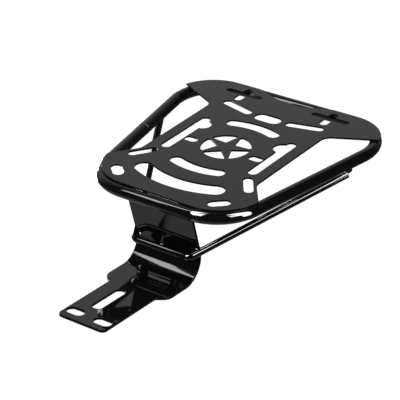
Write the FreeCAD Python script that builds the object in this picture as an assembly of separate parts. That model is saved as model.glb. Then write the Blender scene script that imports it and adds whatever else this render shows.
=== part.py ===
"""Rear luggage rack for a motorcycle: a cut steel plate with a star on a bent tube ring,
carried by a bent strap bracket and a U-bent brace rod, all welded together.

Millimetres. The origin is midway between the two crosswise bolt slots, on the underside of
the strap, which lies flat on the vehicle. +Z is up, -Y is the bolted end and +X is the
rack's right-hand side seen from behind the bolts.
"""

import FreeCAD, Part
import math
import os
from FreeCAD import Vector

# The deck is the plate and its tube. Its own plane is tilted, so the far end rides higher.
DECK_TILT = 3.5
DECK_CENTRE = Vector(0, 226.2, 100.8)

# Tube ring, given on its centreline in the plane of the deck.
TUBE_D = 13.0
TUBE_WALL = 1.5
RING_FRONT_Y = -123.5
RING_REAR_Y = 135.9
RING_FRONT_HALF = 83.7
RING_REAR_HALF = 131.7
RING_FRONT_R = 50.2
RING_REAR_R = 51.6

# Plate, top face at deck height zero. Its outline is (x, y, corner radius).
PLATE_T = 2.0
PLATE_FRONT = (84.6, -121.4, 50.0)
PLATE_REAR = (139.7, 134.9, 50.6)
WAIST_HALF = 72.0
STAR_R = 26.6
STAR_INNER_R = 9.3
STAR_WEB = 1.1
STAR_TIP_R = 2.2
STAR_INNER_CORNER_R = 1.0

# Openings of the plate. A window is left between the waist and each side tube.
WINDOW = [(150, 114.1, 0), (WAIST_HALF + 1, 75.8, 13), (WAIST_HALF, -50.4, 14), (113, -103.5, 0)]
REAR_DIP = [(52, 136.5, 0), (52, 150, 0), (-52, 150, 0), (-52, 136.5, 0), (-14, 122, 40), (14, 122, 40)]
REAR_OVAL = ((-7.6, 78.3), (7.6, 78.3), 16.2)

# Curved slots: centre of the curve, its radius, half its angle in radians, slot width, and
# the way it faces: +1 to the rear, -1 to the front.
CURVED_SLOTS = (
    (-22.7, 76.8, 0.34, 13.6, 1),
    (22.9, 78.3, 0.34, 14.0, -1),
    (15.5, 107.0, 0.43, 19.4, -1),
)

# Straight lashing slots, one of each on either side: end centre, end centre, slot width.
SIDE_SLOTS = (
    ((27.4, 80.0), (58.4, 87.7), 10.4),
    ((54.3, 39.7), (54.3, -30.0), 11.2),
    ((37.6, -5.3), (43.6, -5.3), 9.8),
    ((58.6, -105.8), (67.2, -98.0), 11.6),
    ((59.4, -46.7), (72.2, -64.4), 9.8),
    ((36.2, 115.0), (74.6, 115.0), 7.8),
    ((54.9, 102.4), (54.9, 123.0), 9.4),
)
SLOT_BULGE = (50.5, 29.2)
SLOT_BULGE_R = 9.8

# Bracket: a flat strap that bends up into a leaning upright.
STRAP_T = 3.0
STRAP_HALF = 28.7
SHOULDER_HALF = 39.7
STRAP_FRONT_Y = -13.9
NECK_Y = 67.4
NECK_R = 3.0
SHOULDER_Y = 75.6
SHOULDER_R = 12.0
BEND_Y = 134.8
BEND_R = 22.5
UPRIGHT_LEAN = 17.8
UPRIGHT_TOP_Z = 81.6
STRAP_CORNER_R = 5.6
SLOT_W = 11.8
CROSS_SLOT_L = 20.2
CROSS_SLOT_SPACING = 33.6
LONG_SLOT_L = 45.4
LONG_SLOT_CENTRE = (-6.0, 38.4)

# Brace: one round bar, bent into a U that passes through notches in the upright's edges.
ROD_D = 7.7
ROD_BEND_R = 6.5
ROD_CORNER = Vector(34.1, 116.2, 28.4)
ROD_END = Vector(119.1, 272.7, 86.3)
NOTCH_DEPTH = 5.6
NOTCH_H = 9.0
NOTCH_R = 3.0

# Weld beads, by the radius of the bar each one is cut from.
STITCH_R = 1.9
JOINT_R = 2.2
NOTCH_BEAD_R = 1.2
END_BEAD_R = 2.9
SEAM_R = 0.5
SEAM_Y = -1.0

# Where each bead lies: a stitch by its inset from the tube's axis and its drop under the
# plate, a joint bead by its way up and back from the upright's front top edge.
STITCH_INSET = 4.7
STITCH_DROP = 1.3
STITCH_HALF = 10.0
JOINT_FRONT = (-2.0, -0.5)
JOINT_REAR = (0.3, 1.7)
JOINT_END_GAP = 3.5
NOTCH_BEAD_GAP = 0.4
NOTCH_BEAD_LIFT = 0.2
END_BEAD_SHIFT = Vector(-1.4, 0.8, 2.7)
END_BEAD_HALF = 4.5
SEAM_SINK = 0.1

# Two short beads bridge from the brace's middle run to the upright: start and end of each.
TACK_R = 2.2
TACKS = {
    "upper": (Vector(-1.5, 117.9, 31.6), Vector(-4.5, 124.8, 36.0)),
    "lower": (Vector(13.5, 118.2, 25.2), Vector(12.0, 125.6, 20.5)),
}

# Slivers of a trimmed bead below this volume are dropped.
SMALLEST_BEAD = 2.0
STITCHES = {
    "rear": (59, 131),
    "rear_corner": (107, 114),
    "front_side": (88, -88),
    "front_corner": (71, -111),
    "front": (36, -118),
}

TUBE_R = TUBE_D / 2
ROD_R = ROD_D / 2
TUBE_Z = -PLATE_T - TUBE_R


def rounded_wire(points, z=0.0):
    """Closed wire through (x, y, radius) corners, each rounded to its own radius."""
    corners = [Vector(x, y, z) for x, y, r in points]
    edges = []
    ends = []
    count = len(points)
    for i, (x, y, radius) in enumerate(points):
        here = corners[i]
        before = (corners[i - 1] - here).normalize()
        after = (corners[(i + 1) % count] - here).normalize()
        if radius <= 0:
            ends.append((here, here, None))
            continue
        half = math.acos(max(-1.0, min(1.0, before.dot(after)))) / 2
        reach = radius / math.tan(half)
        start = here + before * reach
        stop = here + after * reach
        bisector = (before + after).normalize()
        middle = here + bisector * (radius / math.sin(half) - radius)
        ends.append((start, stop, middle))
    for i, (start, stop, middle) in enumerate(ends):
        if middle is not None:
            edges.append(Part.Arc(start, middle, stop).toShape())
        following = ends[(i + 1) % count][0]
        if (following - stop).Length > 1e-6:
            edges.append(Part.makeLine(stop, following))
    return Part.Wire(edges)


def sheet(points, thickness, top=0.0):
    """Flat sheet with rounded corners, its upper face at the given height."""
    face = Part.Face(rounded_wire(points, top - thickness))
    return face.extrude(Vector(0, 0, thickness))


def slot_cutter(start, end, width, z0=-20.0, z1=20.0):
    """Round-ended slot between two end centres (x, y), tall enough to cut any sheet."""
    a = Vector(start[0], start[1], z0)
    b = Vector(end[0], end[1], z0)
    along = (b - a).normalize()
    side = Vector(-along.y, along.x, 0) * (width / 2)
    edges = [
        Part.makeLine(a + side, b + side),
        Part.Arc(b + side, b + along * (width / 2), b - side).toShape(),
        Part.makeLine(b - side, a - side),
        Part.Arc(a - side, a - along * (width / 2), a + side).toShape(),
    ]
    return Part.Face(Part.Wire(edges)).extrude(Vector(0, 0, z1 - z0))


def arc_slot_cutter(centre_y, radius, half_angle, width, facing):
    """Round-ended slot bent on an arc about (0, centre_y); facing is +1 rearward, -1 forward."""
    half = width / 2

    def at(r, angle):
        x = r * math.sin(angle)
        y = centre_y + facing * r * math.cos(angle)
        return Vector(x, y, -20)

    def cap(angle, way):
        middle = at(radius, angle)
        tangent = Vector(math.cos(angle), -facing * math.sin(angle), 0) * (way * half)
        return middle + tangent

    a = half_angle
    edges = [
        Part.Arc(at(radius + half, -a), at(radius + half, 0), at(radius + half, a)).toShape(),
        Part.Arc(at(radius + half, a), cap(a, 1), at(radius - half, a)).toShape(),
        Part.Arc(at(radius - half, a), at(radius - half, 0), at(radius - half, -a)).toShape(),
        Part.Arc(at(radius - half, -a), cap(-a, -1), at(radius + half, -a)).toShape(),
    ]
    return Part.Face(Part.Wire(edges)).extrude(Vector(0, 0, 40))


def ring_corners(inset=0.0):
    """Corners of the ring's centreline in the deck plane, moved inwards by inset."""
    run = RING_REAR_Y - RING_FRONT_Y
    slope = (RING_REAR_HALF - RING_FRONT_HALF) / run
    side_shift = inset * math.hypot(1, slope)

    def half_at(y):
        return RING_FRONT_HALF + slope * (y - RING_FRONT_Y) - side_shift

    front = RING_FRONT_Y + inset
    rear = RING_REAR_Y - inset
    return [
        (-half_at(front), front, RING_FRONT_R - inset),
        (half_at(front), front, RING_FRONT_R - inset),
        (half_at(rear), rear, RING_REAR_R - inset),
        (-half_at(rear), rear, RING_REAR_R - inset),
    ]


def ring_bar(radius, inset=0.0, z=TUBE_Z):
    """Round bar swept once around the ring's path."""
    path = rounded_wire(ring_corners(inset), z)
    start = Vector(0, RING_FRONT_Y + inset, z)
    profile = Part.Wire(Part.makeCircle(radius, start, Vector(1, 0, 0)))
    return path.makePipeShell([profile], True, False)


def star_cutter(index):
    """One of the five openings between the star's arms, inside the star's circle."""
    outer = STAR_R
    low = math.radians(90 + 72 * index)
    high = low + math.radians(72)
    middle = (low + high) / 2
    tip_gap = STAR_WEB / outer
    a0 = low + tip_gap
    a1 = high - tip_gap
    inner = Vector(STAR_INNER_R * math.cos(middle), STAR_INNER_R * math.sin(middle), -20)
    p0 = Vector(outer * math.cos(a0), outer * math.sin(a0), -20)
    p1 = Vector(outer * math.cos(a1), outer * math.sin(a1), -20)
    top = Vector(outer * math.cos(middle), outer * math.sin(middle), -20)
    wire = Part.Wire([
        Part.makeLine(inner, p0),
        Part.Arc(p0, top, p1).toShape(),
        Part.makeLine(p1, inner),
    ])
    prism = Part.Face(wire).extrude(Vector(0, 0, 40))
    uprights = [e for e in prism.Edges if abs(e.Vertexes[0].Z - e.Vertexes[-1].Z) > 30]
    uprights.sort(key=lambda e: math.hypot(e.Vertexes[0].X, e.Vertexes[0].Y))
    prism = prism.makeFillet(STAR_TIP_R, uprights[1:])
    return round_inner_corner(prism, inner)


def round_inner_corner(prism, inner):
    """Round the corner of a star opening that lies nearest to the star's centre."""
    for edge in prism.Edges:
        ends = [math.hypot(v.X - inner.x, v.Y - inner.y) for v in edge.Vertexes]
        if max(ends) < 0.01:
            return prism.makeFillet(STAR_INNER_CORNER_R, [edge])
    return prism


def both_sides(shape):
    """The shape and its mirror image across the rack's centre plane."""
    return [shape, shape.mirror(Vector(0, 0, 0), Vector(1, 0, 0))]


def on_deck(shape):
    """Move a shape from the deck's own flat frame to its place on the rack."""
    placed = shape.copy()
    placed.rotate(Vector(0, 0, 0), Vector(1, 0, 0), DECK_TILT)
    placed.translate(DECK_CENTRE)
    return placed


def make_plate():
    right = [PLATE_FRONT, PLATE_REAR]
    plate = sheet(right + [(-x, y, r) for x, y, r in reversed(right)], PLATE_T)

    cutters = both_sides(sheet(WINDOW, 40, 20))
    cutters.append(sheet(REAR_DIP, 40, 20))
    cutters.append(slot_cutter(*REAR_OVAL))
    cutters += [arc_slot_cutter(*slot) for slot in CURVED_SLOTS]
    cutters += [star_cutter(i) for i in range(5)]
    for slot in SIDE_SLOTS:
        cutters += both_sides(slot_cutter(*slot))
    bulge = Part.makeCylinder(SLOT_BULGE_R, 40, Vector(*SLOT_BULGE, -20))
    cutters += both_sides(bulge)

    for cutter in cutters:
        plate = plate.cut(cutter)
    return plate


def make_ring():
    return ring_bar(TUBE_R).cut(ring_bar(TUBE_R - TUBE_WALL))


def upright_directions():
    """Unit vectors up the upright and out of its rear face."""
    lean = math.radians(UPRIGHT_LEAN)
    up = Vector(0, -math.sin(lean), math.cos(lean))
    back = Vector(0, math.cos(lean), math.sin(lean))
    return up, back


def make_bracket():
    up, back = upright_directions()
    corner = Vector(0, BEND_Y, STRAP_T)
    top = corner + up * ((UPRIGHT_TOP_Z - STRAP_T) / up.z)
    reach = BEND_R / math.tan(math.radians(90 - UPRIGHT_LEAN) / 2)
    a = corner - Vector(0, reach, 0)
    b = corner + up * reach
    centre = a + Vector(0, 0, BEND_R)
    middle = (corner - centre).normalize()
    front = Vector(0, STRAP_FRONT_Y, STRAP_T)
    down = Vector(0, 0, -STRAP_T)
    outer = BEND_R + STRAP_T
    side = Part.Wire([
        Part.makeLine(front, a),
        Part.Arc(a, centre + middle * BEND_R, b).toShape(),
        Part.makeLine(b, top),
        Part.makeLine(top, top + back * STRAP_T),
        Part.makeLine(top + back * STRAP_T, b + back * STRAP_T),
        Part.Arc(b + back * STRAP_T, centre + middle * outer, a + down).toShape(),
        Part.makeLine(a + down, front + down),
        Part.makeLine(front + down, front),
    ])
    body = Part.Face(side).extrude(Vector(2 * SHOULDER_HALF, 0, 0))
    body.translate(Vector(-SHOULDER_HALF, 0, 0))

    # Plan outline: a narrow strap that widens over a rounded shoulder to the full width.
    half = [
        (STRAP_HALF, STRAP_FRONT_Y, STRAP_CORNER_R),
        (STRAP_HALF, NECK_Y, NECK_R),
        (SHOULDER_HALF, SHOULDER_Y, SHOULDER_R),
        (SHOULDER_HALF, 200, 0),
    ]
    outline = half + [(-x, y, r) for x, y, r in reversed(half)]
    body = body.common(sheet(outline, 140, 130))

    offset = CROSS_SLOT_SPACING / 2
    reach = (CROSS_SLOT_L - SLOT_W) / 2
    for x in (-offset, offset):
        body = body.cut(slot_cutter((x - reach, 0), (x + reach, 0), SLOT_W))
    x, y = LONG_SLOT_CENTRE
    reach = (LONG_SLOT_L - SLOT_W) / 2
    body = body.cut(slot_cutter((x, y - reach), (x, y + reach), SLOT_W))

    for notch in notches():
        body = body.cut(notch)
    return body


def rod_at_upright():
    """Where the brace's leg crosses the middle of the upright's sheet, on the right side."""
    up, back = upright_directions()
    corner = Vector(0, BEND_Y, STRAP_T) + back * (STRAP_T / 2)
    along = ROD_END - ROD_CORNER
    share = (corner - ROD_CORNER).dot(back) / along.dot(back)
    return ROD_CORNER + along * share


def notches():
    up, back = upright_directions()
    crossing = rod_at_upright()
    inner = SHOULDER_HALF - NOTCH_DEPTH
    outer = SHOULDER_HALF + 5
    h = NOTCH_H / 2
    points = [(inner, -h, NOTCH_R), (outer, -h, 0), (outer, h, 0), (inner, h, NOTCH_R)]
    cutter = sheet(points, 30, 15)
    cutter.rotate(Vector(0, 0, 0), Vector(1, 0, 0), 90 + UPRIGHT_LEAN)
    cutter.translate(Vector(0, crossing.y, crossing.z))
    return both_sides(cutter)


def make_rod():
    end_l = Vector(-ROD_END.x, ROD_END.y, ROD_END.z)
    corner_l = Vector(-ROD_CORNER.x, ROD_CORNER.y, ROD_CORNER.z)
    run = (ROD_CORNER - corner_l).normalize()
    leg_r = (ROD_END - ROD_CORNER).normalize()
    leg_l = (end_l - corner_l).normalize()
    half = math.acos(leg_r.dot(-run)) / 2
    reach = ROD_BEND_R / math.tan(half)
    edges = [Part.makeLine(end_l, corner_l + leg_l * reach)]
    for corner, before, after in ((corner_l, leg_l, run), (ROD_CORNER, -run, leg_r)):
        bisector = (before + after).normalize()
        middle = corner + bisector * (ROD_BEND_R / math.sin(half) - ROD_BEND_R)
        edges.append(Part.Arc(corner + before * reach, middle, corner + after * reach).toShape())
        if corner is corner_l:
            edges.append(Part.makeLine(corner + run * reach, ROD_CORNER - run * reach))
    edges.append(Part.makeLine(ROD_CORNER + leg_r * reach, ROD_END))
    profile = Part.Wire(Part.makeCircle(ROD_R, end_l, leg_l))
    rod = Part.Wire(edges).makePipeShell([profile], True, False)

    # The ends are ground hollow, so that they sit against the underside of the tube.
    return rod.cut(on_deck(ring_bar(TUBE_R)))


def capsule(start, end, radius):
    """Round bar with domed ends, the bar a weld bead is cut from."""
    along = end - start
    bar = Part.makeCylinder(radius, along.Length, start, along)
    domes = [Part.makeSphere(radius, start), Part.makeSphere(radius, end)]
    return bar.fuse(domes).removeSplitter()


def trimmed(bead, neighbours):
    """The solids left of a bead once the pieces it joins are taken out of it."""
    for neighbour in neighbours:
        bead = bead.cut(neighbour)
    return [solid for solid in bead.Solids if solid.Volume > SMALLEST_BEAD]


def make_plate_welds(plate, ring):
    """Short stitches in the corner under the plate, along the inner side of the tube."""
    bead = ring_bar(STITCH_R, STITCH_INSET, -PLATE_T - STITCH_DROP)
    stitches = {}
    for place, (x, y) in STITCHES.items():
        corner = Vector(x - STITCH_HALF, y - STITCH_HALF, -9)
        pads = both_sides(Part.makeBox(2 * STITCH_HALF, 2 * STITCH_HALF, 12, corner))
        for side, pad in zip(("right", "left"), pads):
            solids = trimmed(on_deck(bead.common(pad)), [plate, ring])
            stitches["plate_weld_" + place + "_" + side] = Part.makeCompound(solids)
    return stitches


def make_joint_weld(bracket, ring, face):
    """Bead along the top of the upright against the tube: face is -1 in front, +1 behind."""
    up, back = upright_directions()
    corner = Vector(0, BEND_Y, STRAP_T)
    top = corner + up * ((UPRIGHT_TOP_Z - STRAP_T) / up.z)
    rise, set_back = JOINT_FRONT if face < 0 else JOINT_REAR
    middle = top + up * rise + back * set_back
    reach = Vector(SHOULDER_HALF - JOINT_END_GAP, 0, 0)
    bead = capsule(middle - reach, middle + reach, JOINT_R)
    return Part.makeCompound(trimmed(bead, [bracket, ring]))


def make_notch_weld(bracket, rod, side):
    """C-shaped bead behind the upright, around the part of the brace's leg that lies in the
    notch: side is -1 or +1."""
    up, back = upright_directions()
    leg = (ROD_END - ROD_CORNER).normalize()
    reach = (STRAP_T / 2 + NOTCH_BEAD_LIFT) / leg.dot(back)
    centre = rod_at_upright() + leg * reach
    bead = Part.makeTorus(ROD_R + NOTCH_BEAD_GAP, NOTCH_BEAD_R, centre, back)
    width = 2 * SHOULDER_HALF
    bead = bead.common(Part.makeBox(width, width, width, Vector(-SHOULDER_HALF, BEND_Y - width, 0)))
    if side < 0:
        bead = bead.mirror(Vector(0, 0, 0), Vector(1, 0, 0))
    return Part.makeCompound(trimmed(bead, [bracket, rod]))


def make_tacks(bracket, rod):
    """Short beads that bridge the gap between the brace's middle run and the upright."""
    tacks = {}
    for place, (start, end) in TACKS.items():
        solids = trimmed(capsule(start, end, TACK_R), [bracket, rod])
        tacks["brace_tack_weld_" + place] = Part.makeCompound(solids)
    return tacks


def make_end_weld(ring, rod, side):
    """Bead beside the brace's end, laid along the underside of the tube."""
    slope = (RING_REAR_HALF - RING_FRONT_HALF) / (RING_REAR_Y - RING_FRONT_Y)
    tilt = math.radians(DECK_TILT)
    along = Vector(slope, math.cos(tilt), math.sin(tilt)).normalize()
    middle = ROD_END + END_BEAD_SHIFT
    bead = capsule(middle - along * END_BEAD_HALF, middle + along * END_BEAD_HALF, END_BEAD_R)
    if side < 0:
        bead = bead.mirror(Vector(0, 0, 0), Vector(1, 0, 0))
    return Part.makeCompound(trimmed(bead, [ring, rod]))


def make_seam(ring):
    """Raised seam where the two ends of the bent tube meet, on the left side."""
    run = RING_REAR_Y - RING_FRONT_Y
    slope = (RING_REAR_HALF - RING_FRONT_HALF) / run
    x = -(RING_FRONT_HALF + slope * (SEAM_Y - RING_FRONT_Y))
    centre = Vector(x, SEAM_Y, TUBE_Z)
    torus = Part.makeTorus(TUBE_R - SEAM_SINK, SEAM_R, centre, Vector(-slope, 1, 0))
    return Part.makeCompound(trimmed(on_deck(torus), [ring]))


def main():
    plate = on_deck(make_plate())
    ring = on_deck(make_ring())
    bracket = make_bracket()
    rod = make_rod()
    parts = {
        "top_plate": plate,
        "tube_ring": ring,
        "mount_bracket": bracket,
        "brace_rod": rod,
        "bracket_weld_front": make_joint_weld(bracket, ring, -1),
        "bracket_weld_rear": make_joint_weld(bracket, ring, 1),
        "brace_notch_weld_left": make_notch_weld(bracket, rod, -1),
        "brace_notch_weld_right": make_notch_weld(bracket, rod, 1),
        "brace_end_weld_left": make_end_weld(ring, rod, -1),
        "brace_end_weld_right": make_end_weld(ring, rod, 1),
        "tube_seam_weld": make_seam(ring),
    }
    parts.update(make_tacks(bracket, rod))
    parts.update(make_plate_welds(plate, ring))
    os.makedirs("parts", exist_ok=True)
    for name, shape in parts.items():
        sizes = [round(solid.Volume, 1) for solid in shape.Solids]
        print(name, shape.isValid(), len(sizes), sizes, shape.BoundBox)
        shape.exportStep("parts/" + name + ".step")


main()
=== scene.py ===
"""Builds the looks of a welded motorcycle luggage rack around its fixed frame.

The rack is a laser-cut steel plate on a bent tube ring, carried by a bent strap bracket and a
U-bent brace rod, all in gloss black. Lengths are in metres, in the frame's own axes.
"""

import math

import bmesh
import bpy
import numpy as np
from bpy.props import FloatProperty, FloatVectorProperty, PointerProperty
from mathutils import Matrix, Vector


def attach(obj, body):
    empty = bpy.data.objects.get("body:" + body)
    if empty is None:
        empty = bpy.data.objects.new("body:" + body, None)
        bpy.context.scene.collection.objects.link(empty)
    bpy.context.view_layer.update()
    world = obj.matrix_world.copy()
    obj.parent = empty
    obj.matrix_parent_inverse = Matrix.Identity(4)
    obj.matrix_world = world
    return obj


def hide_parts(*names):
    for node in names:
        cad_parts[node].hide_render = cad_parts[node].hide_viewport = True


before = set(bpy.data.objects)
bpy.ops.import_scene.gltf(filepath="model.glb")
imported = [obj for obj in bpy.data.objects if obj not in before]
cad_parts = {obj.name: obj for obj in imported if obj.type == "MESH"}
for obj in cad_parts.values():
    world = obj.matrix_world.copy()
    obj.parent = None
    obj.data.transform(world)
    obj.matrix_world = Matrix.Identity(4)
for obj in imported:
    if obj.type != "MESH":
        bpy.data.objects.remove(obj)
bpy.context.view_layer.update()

bl_info = {
    "name": "Star Deck Luggage Rack",
    "version": (1, 0, 0),
    "blender": (4, 5, 0),
    "location": "View3D > Sidebar > Rack",
    "description": "Builds a welded, gloss-black luggage rack with a star-cut deck",
    "category": "Add Mesh",
}

MM = 0.001
ROOT = "root"
UP = Vector((0, 0, 1))
ACROSS = Vector((1, 0, 0))

FLAT_FACE = 0.98  # cosine above which a face belongs to a sheet's flat side
BRACKET_EDGE_ROUND = 0.35 * MM
FOLD_CUTS = 36
SEAM_STEPS = 120
SWELLS = 400  # uneven ripple sizes that a bead draws before they repeat

# Middle of each right-hand stitch on the deck, in millimetres.
STITCHES = {
    "rear": (59, 131),
    "rear_corner": (107, 114),
    "front_side": (88, -88),
    "front_corner": (71, -111),
    "front": (36, -118),
}
STITCH_HALF = 10 * MM
STITCH_INSET = 4.7 * MM
STITCH_DROP = 1.3 * MM

# Ends of each tack's core, from the rod to the upright, in millimetres.
TACKS = {
    "upper": ((-1.5, 117.9, 31.6), (-4.5, 124.8, 36.0)),
    "lower": ((13.5, 118.2, 25.2), (12.0, 125.6, 20.5)),
}

# Each light: the place it faces, its distance, its two ends as azimuth and elevation in degrees,
# half its width over its distance, and its share of a softbox's brightness.
RACK_MIDDLE = Vector((0, 0.2, 0.08))
LEFT_CORNER = Vector((-0.085, 0.115, 0.09))
LIGHTS = {
    "Left Softbox": (RACK_MIDDLE, 1.5, (-120.0, 66.8), (-15.6, 32.6), 0.065, 1.0),
    "Left Softbox Panel": (RACK_MIDDLE, 1.5, (-36.9, 70.7), (-7.8, 36.8), 0.09, 1.0),
    "Left Card": (RACK_MIDDLE, 1.5, (-111.7, 65.7), (-42.0, 37.0), 0.03, 0.3),
    "Right Softbox": (RACK_MIDDLE, 3.0, (90.0, 77.1), (90.0, -1.5), 0.18, 1.0),
    "Right Panel": (RACK_MIDDLE, 3.0, (68.0, 54.0), (68.0, 30.0), 0.15, 0.7),
    "Corner Card": (LEFT_CORNER, 0.22, (-122.0, 15.0), (-122.0, -30.0), 0.2, 0.7),
}
SWEEP_AZIMUTH = math.radians(-135.0)
FLOOR_REACH = 6.0
PAPER_MIDDLE = (-0.1, 0.15)  # of the pale patch of floor that the gloss sees


def length(name, description, default_mm):
    """A length property, its default given in millimetres."""
    return FloatProperty(name=name, description=description, default=default_mm * MM,
                         unit="LENGTH", precision=5)


def amount(name, description, default):
    """A plain number from 0 to 1."""
    return FloatProperty(name=name, description=description, default=default,
                         min=0.0, max=1.0, subtype="FACTOR")


def angle(name, description, degrees):
    """An angle property, its default given in degrees."""
    return FloatProperty(name=name, description=description, default=math.radians(degrees),
                         subtype="ANGLE")


def point(name, description, default_mm):
    """A place in the frame, its default given in millimetres."""
    return FloatVectorProperty(name=name, description=description, size=3, subtype="TRANSLATION",
                               default=[v * MM for v in default_mm], precision=5)


def colour(name, description, default):
    """A linear colour."""
    return FloatVectorProperty(name=name, description=description, size=3, subtype="COLOR",
                               default=default, min=0.0, max=1.0)


# ---------------------------------------------------------------- sizes and colours


class DeckSizes(bpy.types.PropertyGroup):
    tilt: angle("Tilt", "Rise of the deck towards its far end", 3.5)
    centre: point("Star Centre", "Middle of the star, on the deck's top face", (0, 226.2, 100.8))
    plate: length("Plate Thickness", "Thickness of the laser-cut plate", 2.0)
    edge_round: length("Painted Edge", "Radius the paint leaves on a cut edge", 0.22)


class RingSizes(bpy.types.PropertyGroup):
    tube: length("Tube Diameter", "Outside diameter of the ring's tube", 13.0)
    front_y: length("Front Run", "Deck position of the front run", -123.5)
    rear_y: length("Rear Run", "Deck position of the rear run", 135.9)
    front_half: length("Front Half Width", "Half the ring's width at the front corners", 83.7)
    rear_half: length("Rear Half Width", "Half the ring's width at the rear corners", 131.7)
    front_bend: length("Front Bend", "Centreline radius of the two front bends", 50.2)
    rear_bend: length("Rear Bend", "Centreline radius of the two rear bends", 51.6)
    seam_y: length("Seam", "Deck position of the tube's butt seam, on the left side", -1.0)


class BracketSizes(bpy.types.PropertyGroup):
    sheet: length("Sheet", "Thickness of the bracket's steel", 3.0)
    strap_half: length("Strap Half Width", "Half the width of the bolted strap", 28.7)
    full_half: length("Upright Half Width", "Half the width behind the shoulder", 39.7)
    front_y: length("Strap End", "Front edge of the strap", -13.9)
    neck_y: length("Neck", "Where the strap starts to widen", 67.4)
    shoulder_y: length("Shoulder", "Corner of the rounded shoulder", 75.6)
    bend_y: length("Bend Corner", "Where the strap's and the upright's front faces meet", 134.8)
    bend: length("Bend Radius", "Inner radius of the bend", 22.5)
    lean: angle("Lean", "Lean of the upright towards the bolted end", 17.8)
    top_z: length("Upright Top", "Height of the upright's front top edge", 81.6)
    slot: length("Slot Width", "Width of the bolt slots", 11.8)
    cross_slot: length("Crosswise Slot", "End to end length of a crosswise slot", 20.2)
    cross_spacing: length("Slot Spacing", "Distance between the crosswise slots", 33.6)
    long_slot: length("Long Slot", "End to end length of the slot along the strap", 45.4)
    long_slot_x: length("Long Slot Offset", "Sideways place of the long slot", -6.0)
    long_slot_y: length("Long Slot Place", "Middle of the long slot", 38.4)
    notch_depth: length("Notch Depth", "Depth of the notch for the brace", 5.6)
    notch_height: length("Notch Height", "Height of the notch for the brace", 9.0)


class BraceSizes(bpy.types.PropertyGroup):
    rod: length("Rod Diameter", "Diameter of the brace rod", 7.7)
    bend: length("Rod Bend", "Centreline radius of the rod's two bends", 6.5)
    corner: point("Rod Corner", "Right corner of the rod's centreline", (34.1, 116.2, 28.4))
    end: point("Rod End", "Right end of the rod's centreline", (119.1, 272.7, 86.3))


class WeldSizes(bpy.types.PropertyGroup):
    stitch: length("Stitch", "Radius of the stitches under the plate", 1.9)
    joint: length("Joint Bead", "Radius of the beads along the upright's top", 2.2)
    end: length("End Bead", "Radius of the beads at the rod's ends", 2.9)
    notch: length("Notch Bead", "Radius of the bead round the rod behind the upright", 1.2)
    tack: length("Tack", "Radius of the tacks between the rod and the upright", 2.2)
    ripple: length("Ripple Pitch", "Distance between the ripples of a bead", 1.5)


class PaintLook(bpy.types.PropertyGroup):
    paint: colour("Black Paint", "Colour of the gloss black", (0.0042, 0.0040, 0.0040))
    dust: colour("Dust", "Colour of the fine dust", (0.32, 0.31, 0.29))
    plate_gloss: amount("Plate Roughness", "Roughness of the paint on the plate", 0.16)
    tube_gloss: amount("Tube Roughness", "Roughness of the paint on the tube and the rod", 0.035)
    bracket_gloss: amount("Bracket Roughness", "Roughness of the paint on the bracket", 0.04)
    weld_gloss: amount("Weld Roughness", "Roughness of the paint over the welds", 0.2)


class StudioSetup(bpy.types.PropertyGroup):
    lens: FloatProperty(name="Lens", description="Focal length in millimetres", default=151.17)
    azimuth: angle("Azimuth", "Direction of the camera around the rack", 35.181)
    elevation: angle("Elevation", "Height of the camera above the horizon", 26.252)
    roll: angle("Roll", "Roll of the camera", 1.092)
    distance: length("Distance", "From the camera to its target", 1720.9)
    target: point("Target", "The point that the camera looks at", (1.54, 179.25, 58.09))
    floor_drop: length("Floor Drop", "Floor height below the strap", 150.0)
    softbox: FloatProperty(name="Softbox", description="Brightness of a softbox in the gloss",
                           default=28.0, min=0.0)
    room: amount("Dark Room", "Brightness of the unlit room in the gloss", 0.035)
    sweep: amount("Pale Sweep", "Brightness of the backdrop in the gloss", 0.5)
    floor_gloss: amount("Floor In Gloss", "Brightness of the floor in the gloss", 0.33)


SIZE_GROUPS = {
    "rack_deck": DeckSizes,
    "rack_ring": RingSizes,
    "rack_bracket": BracketSizes,
    "rack_brace": BraceSizes,
    "rack_weld": WeldSizes,
    "rack_paint": PaintLook,
    "rack_studio": StudioSetup,
}


# ---------------------------------------------------------------- shared shapes


def deck_matrix(deck):
    """From the deck's own flat axes, top face at zero, to the frame."""
    return Matrix.Translation(deck.centre) @ Matrix.Rotation(deck.tilt, 4, "X")


def rounded_loop(corners, step=math.radians(4)):
    """Points of a closed outline through (x, y, radius) corners, its rounds as arcs."""
    points = []
    count = len(corners)
    for i, (x, y, radius) in enumerate(corners):
        here = Vector((x, y))
        before = (Vector(corners[i - 1][:2]) - here).normalized()
        after = (Vector(corners[(i + 1) % count][:2]) - here).normalized()
        if radius <= 0:
            points.append(here)
            continue
        half = before.angle(after) / 2
        centre = here + (before + after).normalized() * (radius / math.sin(half))
        start = here + before * (radius / math.tan(half)) - centre
        turn = math.pi - 2 * half
        if before.x * after.y - before.y * after.x > 0:
            turn = -turn
        steps = max(2, math.ceil(abs(turn) / step))
        for k in range(steps + 1):
            points.append(centre + Matrix.Rotation(turn * k / steps, 2) @ start)
    return points


def slot_loop(start, end, width, steps=20):
    """Outline of a round-ended slot between its two end centres."""
    a, b = Vector(start), Vector(end)
    along = (b - a).normalized()
    side = Vector((-along.y, along.x))
    half = width / 2
    points = []
    for centre, way in ((b, 1), (a, -1)):
        for k in range(steps + 1):
            t = math.pi * k / steps
            points.append(centre + (side * math.cos(t) + along * math.sin(t)) * (half * way))
    return points


def direction(azimuth, elevation):
    """Unit vector of two angles; azimuth 0 is towards the bolted end, a quarter turn the right."""
    flat = math.cos(elevation)
    return Vector((math.sin(azimuth) * flat, -math.cos(azimuth) * flat, math.sin(elevation)))


def make_object(name, mesh):
    obj = bpy.data.objects.new(name, mesh)
    bpy.context.scene.collection.objects.link(obj)
    return obj


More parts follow.
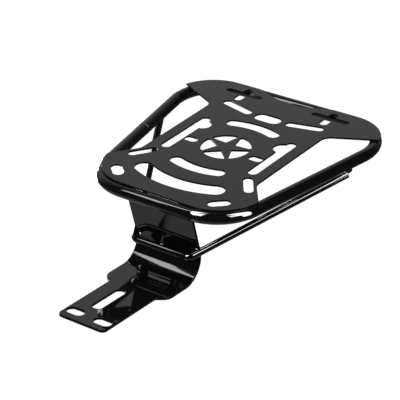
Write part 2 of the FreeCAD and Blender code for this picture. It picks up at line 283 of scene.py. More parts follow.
def smooth(mesh, sharp_degrees=40):
    mesh.polygons.foreach_set("use_smooth", [True] * len(mesh.polygons))
    mesh.set_sharp_from_angle(angle=math.radians(sharp_degrees))
    mesh.update()


def weigh_normals(obj):
    """Keep flat faces flat, so that only the rounded edges bend the light."""
    weights = obj.modifiers.new("Weighted Normals", "WEIGHTED_NORMAL")
    weights.weight = 100
    weights.keep_sharp = True
    return obj


def bar_mesh(name, path, radii, closed=False, sides=40, ends=0.0):
    """Round bar swept along the path's points. ends is the radius of the chamfer at open ends."""
    path = [Vector(p) for p in path]
    count = len(path)
    if not closed and ends > 0:
        first = (path[1] - path[0]).normalized()
        last = (path[-1] - path[-2]).normalized()
        path = [path[0], path[0] + first * ends] + path[1:-1] + [path[-1] - last * ends, path[-1]]
        radii = [radii[0] - ends, radii[0]] + list(radii[1:-1]) + [radii[-1], radii[-1] - ends]
        count = len(path)
    tangents = []
    for i in range(count):
        if closed:
            t = path[(i + 1) % count] - path[i - 1]
        else:
            t = path[min(i + 1, count - 1)] - path[max(i - 1, 0)]
        tangents.append(t.normalized())
    side = tangents[0].orthogonal().normalized()
    rings = []
    mesh = bmesh.new()
    for centre, tangent, radius in zip(path, tangents, radii):
        side = (side - tangent * side.dot(tangent)).normalized()
        other = tangent.cross(side)
        ring = []
        for k in range(sides):
            t = 2 * math.pi * k / sides
            spoke = side * math.cos(t) + other * math.sin(t)
            ring.append(mesh.verts.new(centre + spoke * radius))
        rings.append(ring)
    spans = count if closed else count - 1
    for i in range(spans):
        a, b = rings[i], rings[(i + 1) % count]
        shift = 0
        if closed and i == count - 1:
            gaps = [(b[s].co - a[0].co).length for s in range(sides)]
            shift = gaps.index(min(gaps))
        for k in range(sides):
            j = (k + 1) % sides
            mesh.faces.new((a[k], a[j], b[(j + shift) % sides], b[(k + shift) % sides]))
    if not closed:
        mesh.faces.new(list(reversed(rings[0])))
        mesh.faces.new(rings[-1])
    bmesh.ops.recalc_face_normals(mesh, faces=mesh.faces)
    out = bpy.data.meshes.new(name)
    mesh.to_mesh(out)
    mesh.free()
    smooth(out)
    return out


def sheet_mesh(name, outline, holes, thickness, edge_round):
    """Flat sheet with holes and slightly rounded edges, its top face at height zero."""
    curve = bpy.data.curves.new(name, "CURVE")
    curve.dimensions = "2D"
    curve.fill_mode = "BOTH"
    curve.extrude = thickness / 2 - edge_round
    curve.bevel_depth = edge_round
    curve.bevel_resolution = 2
    curve.offset = -edge_round
    for loop, way in [(outline, 1)] + [(hole, -1) for hole in holes]:
        area = sum(a.x * b.y - b.x * a.y for a, b in zip(loop, loop[1:] + loop[:1]))
        if area * way < 0:
            loop = list(reversed(loop))
        spline = curve.splines.new("POLY")
        spline.points.add(len(loop) - 1)
        for place, corner in zip(spline.points, loop):
            place.co = (corner.x, corner.y, 0, 1)
        spline.use_cyclic_u = True
    obj = bpy.data.objects.new(name, curve)
    bpy.context.scene.collection.objects.link(obj)
    bpy.context.view_layer.update()
    mesh = bpy.data.meshes.new_from_object(obj)
    mesh.name = name
    bpy.data.objects.remove(obj)
    bpy.data.curves.remove(curve)
    mesh.transform(Matrix.Translation((0, 0, -thickness / 2)))
    return mesh


def refined_sheet(node, name, up, edge_round):
    """The frame's own cut sheet, its triangles merged into flat faces and its rims rounded."""
    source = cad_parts[node].data
    work = bmesh.new()
    work.from_mesh(source)
    bmesh.ops.remove_doubles(work, verts=work.verts, dist=2e-6)
    bmesh.ops.dissolve_limit(work, angle_limit=math.radians(0.6), verts=work.verts,
                             edges=work.edges, use_dissolve_boundaries=False)
    sharp = [e for e in work.edges if e.is_manifold and e.calc_face_angle(0) > math.radians(40)]
    sharp = [e for e in sharp if is_rim(e, up)]
    bmesh.ops.bevel(work, geom=sharp, offset=edge_round, segments=2, profile=0.5,
                    affect="EDGES", clamp_overlap=True)
    out = bpy.data.meshes.new(name)
    work.to_mesh(out)
    work.free()
    smooth(out, 50)
    return out


def is_rim(edge, up):
    """True for an edge that runs along the sheet's top or bottom face."""
    return abs((edge.verts[1].co - edge.verts[0].co).normalized().dot(up)) < 0.2


def paint_sheet(mesh, face_paint, up):
    """Flat sides take their own paint; cut walls and rounded rims take the cut wall's."""
    mesh.materials.clear()
    mesh.materials.append(face_paint)
    mesh.materials.append(cut_wall_paint())
    for face in mesh.polygons:
        face.material_index = 0 if abs(face.normal.dot(up)) > FLAT_FACE else 1


# ---------------------------------------------------------------- shader groups


def add_node(tree, kind, **settings):
    node = tree.nodes.new(kind)
    for key, value in settings.items():
        setattr(node, key, value)
    return node


def new_group(name, inputs, outputs):
    tree = bpy.data.node_groups.new(name, "ShaderNodeTree")
    for label, kind, default in inputs:
        socket = tree.interface.new_socket(label, in_out="INPUT", socket_type=kind)
        socket.default_value = default
    for label, kind in outputs:
        tree.interface.new_socket(label, in_out="OUTPUT", socket_type=kind)
    return tree, tree.nodes.new("NodeGroupInput"), tree.nodes.new("NodeGroupOutput")


def math_node(tree, operation, a, b=None, c=None, clamp=False):
    """A math node; each term is a socket or a number. Returns its output."""
    node = add_node(tree, "ShaderNodeMath", operation=operation, use_clamp=clamp)
    for slot, term in enumerate((a, b, c)):
        if term is None:
            continue
        if isinstance(term, (int, float)):
            node.inputs[slot].default_value = term
        else:
            tree.links.new(term, node.inputs[slot])
    return node.outputs[0]


def noise_node(tree, vector, scale, detail=2.0, roughness=0.5):
    node = add_node(tree, "ShaderNodeTexNoise")
    node.inputs["Scale"].default_value = scale
    node.inputs["Detail"].default_value = detail
    node.inputs["Roughness"].default_value = roughness
    tree.links.new(vector, node.inputs["Vector"])
    return node.outputs[0]


def stretched(tree, place, scale, turn=0.0):
    """The place scaled along each axis and turned about the upright one."""
    node = add_node(tree, "ShaderNodeMapping")
    node.inputs["Scale"].default_value = scale
    node.inputs["Rotation"].default_value = (0.0, 0.0, turn)
    tree.links.new(place, node.inputs["Vector"])
    return node.outputs[0]


def ramp(tree, value, low, high):
    """Maps low..high to 0..1, clamped and eased."""
    node = add_node(tree, "ShaderNodeMapRange", interpolation_type="SMOOTHSTEP")
    tree.links.new(value, node.inputs["Value"])
    node.inputs["From Min"].default_value = low
    node.inputs["From Max"].default_value = high
    return node.outputs["Result"]


def paint_film_group():
    """Orange peel, slow waviness and dust nibs of a sprayed gloss coat, as one height."""
    if "Paint Film" in bpy.data.node_groups:
        return bpy.data.node_groups["Paint Film"]
    tree, start, end = new_group(
        "Paint Film",
        [("Peel", "NodeSocketFloat", 1.0), ("Waviness", "NodeSocketFloat", 1.0)],
        [("Height", "NodeSocketFloat"), ("Nibs", "NodeSocketFloat")],
    )
    place = add_node(tree, "ShaderNodeTexCoord").outputs["Object"]
    peel = noise_node(tree, place, scale=520.0, detail=1.0)
    wave = noise_node(tree, place, scale=38.0, detail=1.0)
    cells = add_node(tree, "ShaderNodeTexVoronoi")
    cells.inputs["Scale"].default_value = 95.0
    tree.links.new(place, cells.inputs["Vector"])
    nibs = math_node(tree, "SUBTRACT", 1.0, ramp(tree, cells.outputs["Distance"], 0.0, 0.055))
    few = ramp(tree, noise_node(tree, place, scale=60.0, detail=0.0), 0.56, 0.62)
    nibs = math_node(tree, "MULTIPLY", nibs, few)
    height = math_node(tree, "MULTIPLY", peel, start.outputs["Peel"])
    slow = math_node(tree, "MULTIPLY", wave, start.outputs["Waviness"])
    height = math_node(tree, "ADD", height, slow)
    height = math_node(tree, "MULTIPLY_ADD", nibs, 1.5, height)
    tree.links.new(height, end.inputs["Height"])
    tree.links.new(nibs, end.inputs["Nibs"])
    return tree


def settled_dust_group():
    """Faint dust and wiping marks: more on faces that look up, none underneath."""
    if "Settled Dust" in bpy.data.node_groups:
        return bpy.data.node_groups["Settled Dust"]
    tree, start, end = new_group(
        "Settled Dust",
        [("Amount", "NodeSocketFloat", 0.2)],
        [("Mask", "NodeSocketFloat"), ("Smear", "NodeSocketFloat")],
    )
    place = add_node(tree, "ShaderNodeTexCoord").outputs["Object"]
    normal = add_node(tree, "ShaderNodeNewGeometry").outputs["Normal"]
    split = add_node(tree, "ShaderNodeSeparateXYZ")
    tree.links.new(normal, split.inputs[0])
    upward = ramp(tree, split.outputs["Z"], 0.1, 0.9)
    specks = ramp(tree, noise_node(tree, place, scale=1900.0, detail=2.0), 0.68, 0.78)
    drift = noise_node(tree, place, scale=22.0, detail=3.0)
    mask = math_node(tree, "MULTIPLY", specks, upward)
    mask = math_node(tree, "MULTIPLY", mask, ramp(tree, drift, 0.42, 0.7))
    mask = math_node(tree, "MULTIPLY", mask, start.outputs["Amount"])
    wiped = stretched(tree, place, (30.0, 9.0, 30.0), turn=0.5)
    smear = ramp(tree, noise_node(tree, wiped, scale=1.0, detail=3.0, roughness=0.6), 0.4, 0.75)
    tree.links.new(mask, end.inputs["Mask"])
    tree.links.new(smear, end.inputs["Smear"])
    return tree


# ---------------------------------------------------------------- paints


def black_paint(name, roughness, peel, waviness, depth_mm, dust=0.25, relief=None,
                tint=(1.0, 1.0, 1.0), shine=0.5):
    """Gloss black over steel. depth_mm is the film's relief; relief(tree) returns any other
    height, also in millimetres. tint colours the gloss and shine weakens it below 0.5."""
    if name in bpy.data.materials:
        return bpy.data.materials[name]
    look = bpy.context.scene.rack_paint
    material = bpy.data.materials.new(name)
    material.use_nodes = True
    tree = material.node_tree
    shader = tree.nodes["Principled BSDF"]
    shader.inputs["IOR"].default_value = 1.5
    shader.inputs["Specular Tint"].default_value = (*tint, 1.0)
    shader.inputs["Specular IOR Level"].default_value = shine
    film = add_node(tree, "ShaderNodeGroup", node_tree=paint_film_group())
    film.inputs["Peel"].default_value = peel
    film.inputs["Waviness"].default_value = waviness
    settled = add_node(tree, "ShaderNodeGroup", node_tree=settled_dust_group())
    settled.inputs["Amount"].default_value = dust

    mix = add_node(tree, "ShaderNodeMix", data_type="RGBA")
    mix.inputs["A"].default_value = (*look.paint, 1.0)
    mix.inputs["B"].default_value = (*look.dust, 1.0)
    tree.links.new(settled.outputs["Mask"], mix.inputs["Factor"])
    tree.links.new(mix.outputs["Result"], shader.inputs["Base Color"])

    rough = math_node(tree, "MULTIPLY_ADD", settled.outputs["Smear"], 0.03, roughness - 0.01)
    rough = math_node(tree, "MULTIPLY_ADD", settled.outputs["Mask"], 0.4, rough, clamp=True)
    tree.links.new(rough, shader.inputs["Roughness"])

    height = math_node(tree, "MULTIPLY", film.outputs["Height"], depth_mm)
    if relief is not None:
        height = math_node(tree, "ADD", height, relief(tree))
    bump = add_node(tree, "ShaderNodeBump")
    bump.inputs["Strength"].default_value = 1.0
    bump.inputs["Distance"].default_value = MM
    tree.links.new(height, bump.inputs["Height"])
    tree.links.new(bump.outputs["Normal"], shader.inputs["Normal"])
    return material


def cut_marks(tree):
    """Fine upright striations that the laser leaves on a cut wall, in millimetres."""
    place = add_node(tree, "ShaderNodeTexCoord").outputs["Object"]
    upright = stretched(tree, place, (2600.0, 2600.0, 120.0))
    return math_node(tree, "MULTIPLY", noise_node(tree, upright, scale=1.0, detail=1.0), 0.002)


def press_marks(tree):
    """Faint cross lines where the press brake drew the steel over its die, in millimetres."""
    place = add_node(tree, "ShaderNodeTexCoord").outputs["Object"]
    crosswise = stretched(tree, place, (8.0, 420.0, 420.0))
    return math_node(tree, "MULTIPLY", noise_node(tree, crosswise, scale=1.0, detail=2.0), 0.002)


def plate_paint():
    look = bpy.context.scene.rack_paint
    return black_paint("Plate Gloss Black", look.plate_gloss, peel=0.7, waviness=1.0,
                       depth_mm=0.004, tint=(0.95, 0.94, 1.0))


def cut_wall_paint():
    look = bpy.context.scene.rack_paint
    return black_paint("Cut Wall Black", look.plate_gloss + 0.12, peel=1.0, waviness=0.0,
                       depth_mm=0.002, dust=0.0, relief=cut_marks, shine=0.06)


def tube_paint():
    look = bpy.context.scene.rack_paint
    return black_paint("Tube Gloss Black", look.tube_gloss, peel=0.6, waviness=0.6,
                       depth_mm=0.001, tint=(1.0, 0.97, 0.96))


def rod_paint():
    look = bpy.context.scene.rack_paint
    return black_paint("Rod Gloss Black", look.tube_gloss, peel=0.8, waviness=0.15,
                       depth_mm=0.001)


def bracket_paint():
    look = bpy.context.scene.rack_paint
    return black_paint("Bracket Gloss Black", look.bracket_gloss, peel=0.8, waviness=1.0,
                       depth_mm=0.002, dust=0.05, relief=press_marks)


def weld_paint():
    look = bpy.context.scene.rack_paint
    return black_paint("Weld Black", look.weld_gloss, peel=2.0, waviness=1.0,
                       depth_mm=0.01, dust=0.1)


def settle(obj, slot, *nodes):
    """The piece rides on the rack and stands for its nodes. The slot is not used."""
    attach(obj, ROOT)
    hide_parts(*nodes)
    return obj


# ---------------------------------------------------------------- top plate


class RACK_OT_top_plate(bpy.types.Operator):
    """Build the laser-cut deck plate"""

    bl_idname = "rack.top_plate"
    bl_label = "Top Plate"

    def execute(self, context):
        deck = context.scene.rack_deck
        up = deck_matrix(deck).to_3x3() @ UP
        mesh = refined_sheet("top_plate", "deck_plate", up, deck.edge_round)
        paint_sheet(mesh, plate_paint(), up)
        settle(weigh_normals(make_object("deck_plate", mesh)), "plate", "top_plate")
        return {"FINISHED"}


# ---------------------------------------------------------------- tube ring


def ring_slope(ring):
    """How much each side of the ring spreads per length towards the far end."""
    return (ring.rear_half - ring.front_half) / (ring.rear_y - ring.front_y)


def tube_height(scene):
    """Height of the tube's centreline in the deck's flat axes."""
    return -scene.rack_deck.plate - scene.rack_ring.tube / 2


def ring_path(z, inset=0.0, step=math.radians(3)):
    """The ring's path in the deck's flat axes at height z, moved inwards by inset."""
    ring = bpy.context.scene.rack_ring
    slope = ring_slope(ring)
    shift = inset * math.hypot(1, slope)
    front, rear = ring.front_y + inset, ring.rear_y - inset
    front_half = ring.front_half + slope * inset - shift
    rear_half = ring.rear_half - slope * inset - shift
    corners = [
        (-front_half, front, ring.front_bend - inset),
        (front_half, front, ring.front_bend - inset),
        (rear_half, rear, ring.rear_bend - inset),
        (-rear_half, rear, ring.rear_bend - inset),
    ]
    return [Vector((p.x, p.y, z)) for p in rounded_loop(corners, step)]


def densify(path, gap, closed=True):
    """The path with extra points, so that no span is longer than gap."""
    out = []
    ends = path[1:] + path[:1] if closed else path[1:]
    for a, b in zip(path, ends):
        parts = max(1, math.ceil((b - a).length / gap))
        out += [a.lerp(b, k / parts) for k in range(parts)]
    if not closed:
        out.append(path[-1])
    return out


class RACK_OT_tube_ring(bpy.types.Operator):
    """Build the bent tube ring under the plate"""

    bl_idname = "rack.tube_ring"
    bl_label = "Tube Ring"

    def execute(self, context):
        scene = context.scene
        path = densify(ring_path(tube_height(scene)), 12 * MM)
        radii = [scene.rack_ring.tube / 2] * len(path)
        mesh = bar_mesh("ring_tube", path, radii, closed=True, sides=56)
        mesh.transform(deck_matrix(scene.rack_deck))
        mesh.materials.append(tube_paint())
        settle(make_object("ring_tube", mesh), "tube", "tube_ring")
        return {"FINISHED"}


class RACK_OT_tube_seam(bpy.types.Operator):
    """Build the raised seam that closes the tube ring"""

    bl_idname = "rack.tube_seam"
    bl_label = "Tube Seam"

    def execute(self, context):
        scene = context.scene
        ring = scene.rack_ring
        slope = ring_slope(ring)
        x = -(ring.front_half + slope * (ring.seam_y - ring.front_y))
        centre = Vector((x, ring.seam_y, tube_height(scene)))
        along = Vector((-slope, 1, 0)).normalized()
        side = along.cross(UP)
        sunk = ring.tube / 2 - 0.1 * MM
        path, radii = [], []
        for k in range(SEAM_STEPS):
            t = 2 * math.pi * k / SEAM_STEPS
            wander = along * (0.25 * MM * math.sin(3 * t + 1.0) + 0.12 * MM * math.sin(11 * t))
            path.append(centre + (side * math.cos(t) + UP * math.sin(t)) * sunk + wander)
            radii.append(0.40 * MM + 0.07 * MM * math.sin(30 * t))
        mesh = bar_mesh("ring_seam", path, radii, closed=True, sides=14)
        mesh.transform(deck_matrix(scene.rack_deck))
        settle_bead(mesh, "tube_seam_weld")
        return {"FINISHED"}


# ---------------------------------------------------------------- bracket


def upright_axes():
    """Unit vectors up the upright and out of its rear face."""
    lean = bpy.context.scene.rack_bracket.lean
    up = Vector((0, -math.sin(lean), math.cos(lean)))
    back = Vector((0, math.cos(lean), math.sin(lean)))
    return up, back


def rod_crossing():
    """Where the right leg's axis meets the middle of the upright's sheet."""
    scene = bpy.context.scene
    size, brace = scene.rack_bracket, scene.rack_brace
    _, back = upright_axes()
    middle = Vector((0, size.bend_y, size.sheet)) + back * (size.sheet / 2)
    corner, end = Vector(brace.corner), Vector(brace.end)
    along = end - corner
    return corner + along * ((middle - corner).dot(back) / along.dot(back))


def bend_start(size):
    """Where the bend starts along the strap, and the angle that it turns."""
    turn = math.radians(90) + size.lean
    return size.bend_y - size.bend * math.tan(turn / 2), turn


def bracket_outline(size):
    """The bracket's flat pattern. y is measured along its inner face."""
    start, turn = bend_start(size)
    up, _ = upright_axes()
    straight = size.bend * math.tan(turn / 2)
    corner = Vector((0, size.bend_y, size.sheet))
    flat_corner = start + size.bend * turn - straight
    top = flat_corner + (size.top_z - size.sheet) / up.z
    notch = flat_corner + (rod_crossing() - corner).dot(up)
    h = size.notch_height / 2
    inner = size.full_half - size.notch_depth
    right = [
        (size.strap_half, size.front_y, 5.6 * MM),
        (size.strap_half, size.neck_y, 3 * MM),
        (size.full_half, size.shoulder_y, 12 * MM),
        (size.full_half, notch - h, 0),
        (inner, notch - h, 3 * MM),
        (inner, notch + h, 3 * MM),
        (size.full_half, notch + h, 0),
        (size.full_half, top, 0.6 * MM),
    ]
    return rounded_loop(right + [(-x, y, r) for x, y, r in reversed(right)])


def bracket_slots(size):
    """The two crosswise slots and the one along the strap."""
    cross = (size.cross_slot - size.slot) / 2
    holes = []
    for x in (-size.cross_spacing / 2, size.cross_spacing / 2):
        holes.append(slot_loop((x - cross, 0), (x + cross, 0), size.slot))
    reach = (size.long_slot - size.slot) / 2
    x, y = size.long_slot_x, size.long_slot_y
    holes.append(slot_loop((x, y - reach), (x, y + reach), size.slot))
    return holes


def fold_up(mesh, size):
    """Bend the flat pattern up into the leaning upright."""
    start, turn = bend_start(size)
    arc = size.bend * turn
    work = bmesh.new()
    work.from_mesh(mesh)
    for k in range(FOLD_CUTS + 1):
        plane = Vector((0, start + arc * k / FOLD_CUTS, 0))
        geom = work.verts[:] + work.edges[:] + work.faces[:]
        bmesh.ops.bisect_plane(work, geom=geom, plane_co=plane, plane_no=(0, 1, 0), dist=1e-7)
    for vert in work.verts:
        x, y, z = vert.co
        if y <= start:
            vert.co = (x, y, size.sheet + z)
            continue
        angle = min(y - start, arc) / size.bend
        beyond = max(0.0, y - start - arc)
        radius = size.bend - z
        py = start + radius * math.sin(angle) + beyond * math.cos(turn)
        pz = size.sheet + size.bend - radius * math.cos(angle) + beyond * math.sin(turn)
        vert.co = (x, py, pz)
    work.to_mesh(mesh)
    work.free()


class RACK_OT_bracket(bpy.types.Operator):
    """Build the bent strap bracket with its bolt slots"""

    bl_idname = "rack.bracket"
    bl_label = "Mount Bracket"

    def execute(self, context):
        size = context.scene.rack_bracket
        mesh = sheet_mesh("strap_bracket", bracket_outline(size), bracket_slots(size),
                          size.sheet, BRACKET_EDGE_ROUND)
        paint_sheet(mesh, bracket_paint(), UP)
        fold_up(mesh, size)
        smooth(mesh, 50)
        settle(weigh_normals(make_object("strap_bracket", mesh)), "bracket", "mount_bracket")
        return {"FINISHED"}


# ---------------------------------------------------------------- brace


def brace_path():
    """The rod's centreline from its left end, over the upright, to its right end."""
    brace = bpy.context.scene.rack_brace
    corner, end = Vector(brace.corner), Vector(brace.end)
    flip = Matrix.Scale(-1, 3, (1, 0, 0))
    path = [flip @ end]
    for here, before, after in ((flip @ corner, flip @ end, corner), (corner, flip @ corner, end)):
        a = (before - here).normalized()
        b = (after - here).normalized()
        half = a.angle(b) / 2
        centre = here + (a + b).normalized() * (brace.bend / math.sin(half))
        start = here + a * (brace.bend / math.tan(half)) - centre
        stop = here + b * (brace.bend / math.tan(half)) - centre
        steps = 16
        spokes = [start.normalized().slerp(stop.normalized(), k / steps) for k in range(steps + 1)]
        path += [centre + spoke * brace.bend for spoke in spokes]
    path.append(end)
    return path


class RACK_OT_brace(bpy.types.Operator):
    """Build the U-bent brace rod"""

    bl_idname = "rack.brace"
    bl_label = "Brace Rod"

    def execute(self, context):
        brace = context.scene.rack_brace
        path = densify(brace_path(), 10 * MM, closed=False)
        radii = [brace.rod / 2] * len(path)
        mesh = bar_mesh("brace_bar", path, radii, sides=64, ends=0.5 * MM)
        mesh.materials.append(rod_paint())
        settle(make_object("brace_bar", mesh), "rod", "brace_rod")
        return {"FINISHED"}


# ---------------------------------------------------------------- welds


def bead_mesh(name, path, radius, pitch, seed, closed=False):
    """A weld bead along the path: overlapping ripples, a little uneven, with domed ends."""
    draw = np.random.default_rng(seed)
    path = densify(path, pitch / 6, closed)
    run = 0.0
    radii = []
    swell = draw.uniform(0.9, 1.04, SWELLS)
    for i, here in enumerate(path):
        if i:
            run += (here - path[i - 1]).length
        turn = run / pitch
        part = turn - math.floor(turn)
        ripple = 0.93 + 0.09 * math.sqrt(max(0.0, 1 - part * part))
        radii.append(radius * ripple * float(swell[int(turn) % SWELLS]))
    if not closed:
        total = run
        run = 0.0
        for i, here in enumerate(path):
            if i:
                run += (here - path[i - 1]).length
            near = min(run, total - run) / radius
            if near < 1:
                radii[i] *= math.sqrt(max(0.02, 1 - (1 - near) ** 2))
    return bar_mesh(name, path, radii, closed, sides=20)


def mirrored(mesh):
    """The left-hand copy of a right-hand mesh."""
    copy = mesh.copy()
    copy.transform(Matrix.Scale(-1, 4, ACROSS))
    copy.flip_normals()
    return copy


def settle_bead(mesh, node):
    """The bead takes the weld's paint and stands for its node."""
    mesh.materials.append(weld_paint())
    settle(make_object(mesh.name, mesh), "weld_bead", node)


def settle_pair(bead, name, node):
    """The right-hand bead and its left-hand copy each stand for a node."""
    for side, mesh in (("right", bead), ("left", mirrored(bead))):
        mesh.name = name + "_" + side
        settle_bead(mesh, node + "_" + side)


class RACK_OT_plate_stitches(bpy.types.Operator):
    """Build the stitch welds between the plate and the tube"""

    bl_idname = "rack.plate_stitches"
    bl_label = "Plate Stitches"

    def execute(self, context):
        scene = context.scene
        weld = scene.rack_weld
        to_frame = deck_matrix(scene.rack_deck)
        path = ring_path(-scene.rack_deck.plate - STITCH_DROP, STITCH_INSET, math.radians(1.5))
        path = densify(path, 0.5 * MM)
        for seed, (place, (x, y)) in enumerate(STITCHES.items()):
            part = [p for p in path
                    if max(abs(p.x - x * MM), abs(p.y - y * MM)) < STITCH_HALF]
            bead = bead_mesh("stitch", part, weld.stitch, weld.ripple, seed)
            bead.transform(to_frame)
            settle_pair(bead, "stitch_" + place, "plate_weld_" + place)
        return {"FINISHED"}


class RACK_OT_joint_beads(bpy.types.Operator):
    """Build the two beads that join the upright to the tube"""

    bl_idname = "rack.joint_beads"
    bl_label = "Upright Beads"

    def execute(self, context):
        size, weld = context.scene.rack_bracket, context.scene.rack_weld
        up, back = upright_axes()
        top = Vector((0, size.bend_y, size.sheet)) + up * ((size.top_z - size.sheet) / up.z)
        reach = ACROSS * (size.full_half - 3.5 * MM + weld.joint)
        places = {
            "front": top - up * 2.0 * MM - back * 0.5 * MM,
            "rear": top + up * 0.3 * MM + back * 1.7 * MM,
        }
        for seed, (place, middle) in enumerate(places.items(), start=20):
            bead = bead_mesh("upright_bead_" + place, [middle - reach, middle + reach],
                             weld.joint, weld.ripple, seed)
            settle_bead(bead, "bracket_weld_" + place)
        return {"FINISHED"}


class RACK_OT_notch_beads(bpy.types.Operator):
    """Build the C-shaped beads behind the upright, where the rod lies in the notches"""

    bl_idname = "rack.notch_beads"
    bl_label = "Notch Beads"

    def execute(self, context):
        scene = context.scene
        size, brace, weld = scene.rack_bracket, scene.rack_brace, scene.rack_weld
        up, back = upright_axes()
        crossing = rod_crossing()
        leg = (Vector(brace.end) - Vector(brace.corner)).normalized()
        radius = brace.rod / 2 + 0.4 * MM
        centre = crossing + leg * ((size.sheet / 2 + 0.2 * MM) / leg.dot(back))
        gap = math.acos((size.full_half - centre.x) / radius)
        path = []
        for k in range(49):
            t = gap + (2 * math.pi - 2 * gap) * k / 48
            path.append(centre + (ACROSS * math.cos(t) + up * math.sin(t)) * radius)
        bead = bead_mesh("notch", path, weld.notch, weld.ripple, 30)
        settle_pair(bead, "notch_bead", "brace_notch_weld")
        return {"FINISHED"}


class RACK_OT_tack_beads(bpy.types.Operator):
    """Build the two tacks between the rod's middle run and the upright"""

    bl_idname = "rack.tack_beads"
    bl_label = "Tack Beads"

    def execute(self, context):
        weld = context.scene.rack_weld
        for seed, (place, (start, end)) in enumerate(TACKS.items(), start=50):
            a, b = Vector(start) * MM, Vector(end) * MM
            dome = (b - a).normalized() * weld.tack
            bead = bead_mesh("tack_bead_" + place, [a - dome, b + dome], weld.tack, weld.ripple,
                             seed)
            settle_bead(bead, "brace_tack_weld_" + place)
        return {"FINISHED"}


class RACK_OT_end_beads(bpy.types.Operator):
    """Build the beads at the two ends of the brace"""

    bl_idname = "rack.end_beads"
    bl_label = "Brace End Beads"

    def execute(self, context):
        scene = context.scene
        brace, weld = scene.rack_brace, scene.rack_weld
        tilt = scene.rack_deck.tilt
        along = Vector((ring_slope(scene.rack_ring), math.cos(tilt), math.sin(tilt))).normalized()
        middle = Vector(brace.end) + Vector((-1.4, 0.8, 2.7)) * MM
        reach = along * (4.5 * MM + weld.end)
        bead = bead_mesh("end", [middle - reach, middle + reach], weld.end, weld.ripple, 40)
        settle_pair(bead, "end_bead", "brace_end_weld")
        return {"FINISHED"}


# ---------------------------------------------------------------- studio


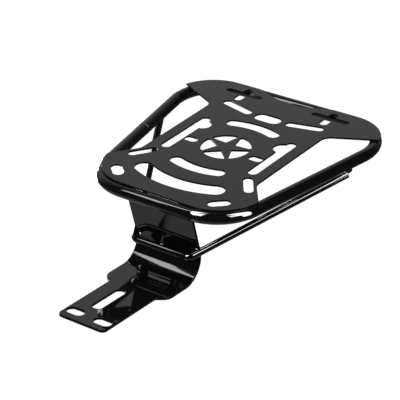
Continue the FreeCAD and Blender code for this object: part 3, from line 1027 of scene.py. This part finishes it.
class RACK_OT_studio(bpy.types.Operator):
    """Set up the floor, the soft lights and the camera"""

    bl_idname = "rack.studio"
    bl_label = "Studio"

    def execute(self, context):
        scene = context.scene
        studio = scene.rack_studio
        scene.view_settings.view_transform = "Standard"
        self.camera(scene, studio)
        self.softboxes(scene, studio)
        self.world(scene, studio)
        self.floor(studio)
        return {"FINISHED"}

    def camera(self, scene, studio):
        """A long lens that looks down on the rack from its front right."""
        back = direction(studio.azimuth, studio.elevation)
        data = bpy.data.cameras.new("Camera")
        data.lens = studio.lens
        data.sensor_width = 36.0
        camera = bpy.data.objects.new("Camera", data)
        scene.collection.objects.link(camera)
        turn = (-back).to_track_quat("-Z", "Y")
        camera.rotation_mode = "QUATERNION"
        camera.rotation_quaternion = turn @ Matrix.Rotation(studio.roll, 3, "Z").to_quaternion()
        camera.location = Vector(studio.target) + back * studio.distance
        scene.camera = camera

    def softboxes(self, scene, studio):
        """Long softboxes hang left and right of the camera and a small card stands by the ring's
        left front corner. Only gloss sees them."""
        for name, (middle, reach, one, other, half_width, share) in LIGHTS.items():
            a, b = (direction(*map(math.radians, end)) for end in (one, other))
            out = (a + b).normalized()
            along = (a - b).normalized()
            half_length = math.tan(a.angle(b) / 2)
            data = bpy.data.lights.new(name, "AREA")
            data.shape = "RECTANGLE"
            data.size = 2 * half_width * reach
            data.size_y = 2 * half_length * reach
            data.energy = studio.softbox * share * math.pi * data.size * data.size_y
            lamp = bpy.data.objects.new(name, data)
            scene.collection.objects.link(lamp)
            axes = Matrix((along.cross(out), along, out)).transposed()
            lamp.matrix_world = Matrix.Translation(middle + out * reach) @ axes.to_4x4()
            lamp.visible_camera = False
            lamp.visible_diffuse = False

    def world(self, scene, studio):
        """Even light for the colours, and a dark room with a pale sweep for the gloss."""
        world = bpy.data.worlds.new("Studio")
        scene.world = world
        world.use_nodes = True
        tree = world.node_tree
        background = tree.nodes["Background"]
        background.inputs["Color"].default_value = (1, 1, 1, 1)
        path = add_node(tree, "ShaderNodeLightPath")
        place = add_node(tree, "ShaderNodeTexCoord").outputs["Generated"]
        facing = add_node(tree, "ShaderNodeVectorMath", operation="DOT_PRODUCT")
        tree.links.new(place, facing.inputs[0])
        facing.inputs[1].default_value = direction(SWEEP_AZIMUTH, 0.0)
        pale = ramp(tree, facing.outputs["Value"], 0.25, 0.9)
        gloss = math_node(tree, "MULTIPLY_ADD", pale, studio.sweep - studio.room, studio.room)
        camera = path.outputs["Is Camera Ray"]
        glossy = path.outputs["Is Glossy Ray"]
        level = add_node(tree, "ShaderNodeMix")
        level.inputs["A"].default_value = 1.0
        tree.links.new(glossy, level.inputs["Factor"])
        tree.links.new(gloss, level.inputs["B"])
        tree.links.new(math_node(tree, "MAXIMUM", level.outputs["Result"], camera),
                       background.inputs["Strength"])

    def floor(self, studio):
        """A pale floor that shows white to the camera and a softer grey in the gloss."""
        mesh = bpy.data.meshes.new("floor")
        z = -studio.floor_drop
        signs = ((-1, -1), (1, -1), (1, 1), (-1, 1))
        corners = [(x * FLOOR_REACH, y * FLOOR_REACH, z) for x, y in signs]
        mesh.from_pydata(corners, [], [(0, 1, 2, 3)])
        floor = make_object("floor", mesh)
        material = bpy.data.materials.new("Pale Floor")
        material.use_nodes = True
        tree = material.node_tree
        shader = tree.nodes["Principled BSDF"]
        shader.inputs["Base Color"].default_value = (0.05, 0.05, 0.05, 1)
        shader.inputs["Roughness"].default_value = 1.0
        shader.inputs["Specular IOR Level"].default_value = 0.0
        shader.inputs["Emission Color"].default_value = (1, 1, 1, 1)
        path = add_node(tree, "ShaderNodeLightPath")
        place = add_node(tree, "ShaderNodeTexCoord").outputs["Object"]
        away = add_node(tree, "ShaderNodeVectorMath", operation="DISTANCE")
        tree.links.new(place, away.inputs[0])
        away.inputs[1].default_value = (*PAPER_MIDDLE, z)
        paper = ramp(tree, away.outputs["Value"], 0.46, 0.3)
        grey = math_node(tree, "MULTIPLY", path.outputs["Is Glossy Ray"], paper)
        grey = math_node(tree, "MULTIPLY", grey, studio.floor_gloss)
        tree.links.new(math_node(tree, "ADD", path.outputs["Is Camera Ray"], grey),
                       shader.inputs["Emission Strength"])
        mesh.materials.append(material)


OPERATORS = (
    RACK_OT_top_plate,
    RACK_OT_tube_ring,
    RACK_OT_tube_seam,
    RACK_OT_bracket,
    RACK_OT_brace,
    RACK_OT_plate_stitches,
    RACK_OT_joint_beads,
    RACK_OT_notch_beads,
    RACK_OT_tack_beads,
    RACK_OT_end_beads,
    RACK_OT_studio,
)


class RACK_PT_builder(bpy.types.Panel):
    """Sizes, colours and one button for each piece"""

    bl_label = "Luggage Rack"
    bl_idname = "RACK_PT_builder"
    bl_space_type = "VIEW_3D"
    bl_region_type = "UI"
    bl_category = "Rack"

    def draw(self, context):
        for group in SIZE_GROUPS:
            box = self.layout.box()
            box.label(text=group.replace("rack_", "").title())
            settings = getattr(context.scene, group)
            for key in settings.__annotations__:
                box.prop(settings, key)
        for operator in OPERATORS:
            self.layout.operator(operator.bl_idname)


def register():
    for cls in (*SIZE_GROUPS.values(), *OPERATORS, RACK_PT_builder):
        bpy.utils.register_class(cls)
    for name, cls in SIZE_GROUPS.items():
        setattr(bpy.types.Scene, name, PointerProperty(type=cls))


def unregister():
    for name in SIZE_GROUPS:
        delattr(bpy.types.Scene, name)
    for cls in reversed((*SIZE_GROUPS.values(), *OPERATORS, RACK_PT_builder)):
        bpy.utils.unregister_class(cls)


def main():
    """Register the classes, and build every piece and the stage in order."""
    register()
    for operator in OPERATORS:
        getattr(bpy.ops.rack, operator.bl_idname.removeprefix("rack."))()


if __name__ == "__main__":
    main()
